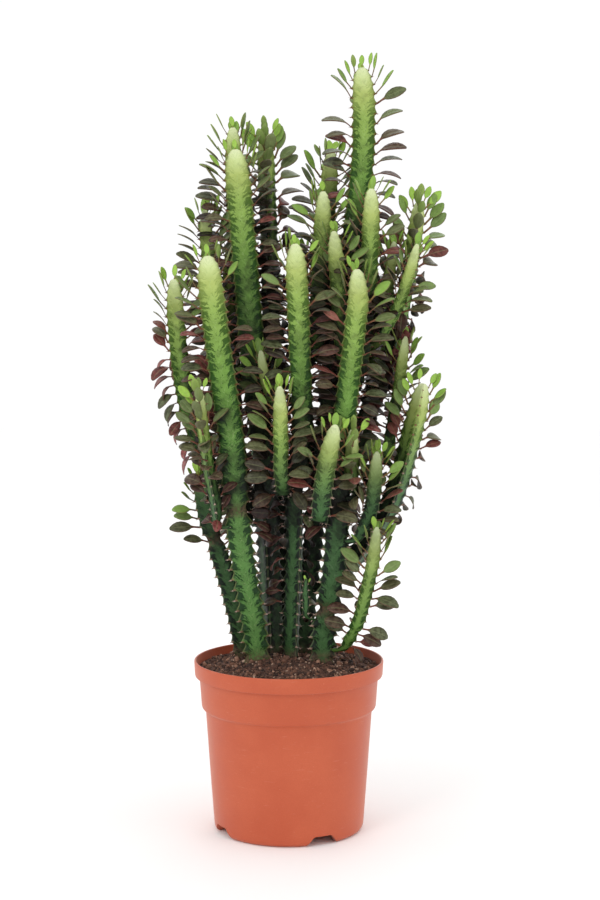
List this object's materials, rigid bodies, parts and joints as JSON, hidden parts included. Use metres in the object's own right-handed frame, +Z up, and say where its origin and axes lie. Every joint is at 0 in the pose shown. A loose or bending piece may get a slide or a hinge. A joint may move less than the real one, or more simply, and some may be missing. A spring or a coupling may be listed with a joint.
{
  "type": "potted euphorbia",
  "caption": "Bushy three-winged euphorbia with toothed upright stems and leaf tufts, growing from dark soil in a round plastic nursery pot with a stepped rim.",
  "frame": {"origin": "under the middle of the whole plant's box, on the surface that the pot stands on; the pot's axis is at x -12.9 mm, y -15.7 mm", "axes": "+Z up, parallel to the pot's axis; -Y is the plant's best side, +X is to the right seen from there"},
  "size_m": [0.3137, 0.2414, 0.8597],
  "materials": {
    "terracotta_plastic": "satin",
    "potting_soil": "matte",
    "stem_skin": "satin",
    "leaf": "satin"
  },
  "bodies": {
    "root": {"arm_front": "stem_skin", "arm_front_right": "stem_skin", "arm_left_front": "stem_skin", "arm_left_outer": "stem_skin", "arm_left_rear": "stem_skin", "arm_middle_front": "stem_skin", "arm_rear_centre": "stem_skin", "arm_rear_left": "stem_skin", "arm_rear_right": "stem_skin", "arm_right": "stem_skin", "arm_right_low": "stem_skin", "arm_right_short": "stem_skin", "bud_arm_left": "stem_skin", "column_centre": "stem_skin", "column_centre_back": "stem_skin", "column_left_rear": "stem_skin", "column_rear": "stem_skin", "column_rear_inner": "stem_skin", "column_right": "stem_skin", "column_right_centre": "stem_skin", "leaf_tuft_arm_front": "leaf", "leaf_tuft_arm_left_front": "leaf", "leaf_tuft_arm_left_outer": "leaf", "leaf_tuft_arm_left_rear": "leaf", "leaf_tuft_arm_middle_front": "leaf", "leaf_tuft_arm_rear_centre": "leaf", "leaf_tuft_arm_rear_left": "leaf", "leaf_tuft_arm_rear_right": "leaf", "leaf_tuft_arm_right": "leaf", "leaf_tuft_arm_right_low": "leaf", "leaf_tuft_arm_right_short": "leaf", "leaf_tuft_column_centre": "leaf", "leaf_tuft_column_centre_back": "leaf", "leaf_tuft_column_left_rear": "leaf", "leaf_tuft_column_rear": "leaf", "leaf_tuft_column_rear_inner": "leaf", "leaf_tuft_column_right": "leaf", "leaf_tuft_column_right_centre": "leaf", "leaf_tuft_trunk_left": "leaf", "leaf_tuft_trunk_left_low": "leaf", "leaf_tuft_trunk_middle": "leaf", "leaf_tuft_trunk_rear_left": "leaf", "leaf_tuft_trunk_rear_right": "leaf", "leaf_tuft_trunk_right": "leaf", "leaf_tuft_twig_right_front": "leaf", "leaf_tuft_twig_right_inner": "leaf", "leaf_tuft_twig_right_outer": "leaf", "pot": "terracotta_plastic", "shoot_small": "stem_skin", "soil": "potting_soil", "trunk_left": "stem_skin", "trunk_left_low": "stem_skin", "trunk_middle": "stem_skin", "trunk_rear": "stem_skin", "trunk_rear_left": "stem_skin", "trunk_rear_right": "stem_skin", "trunk_right": "stem_skin", "twig_right_front": "stem_skin", "twig_right_inner": "stem_skin", "twig_right_outer": "stem_skin"}
  },
  "joints": []
}
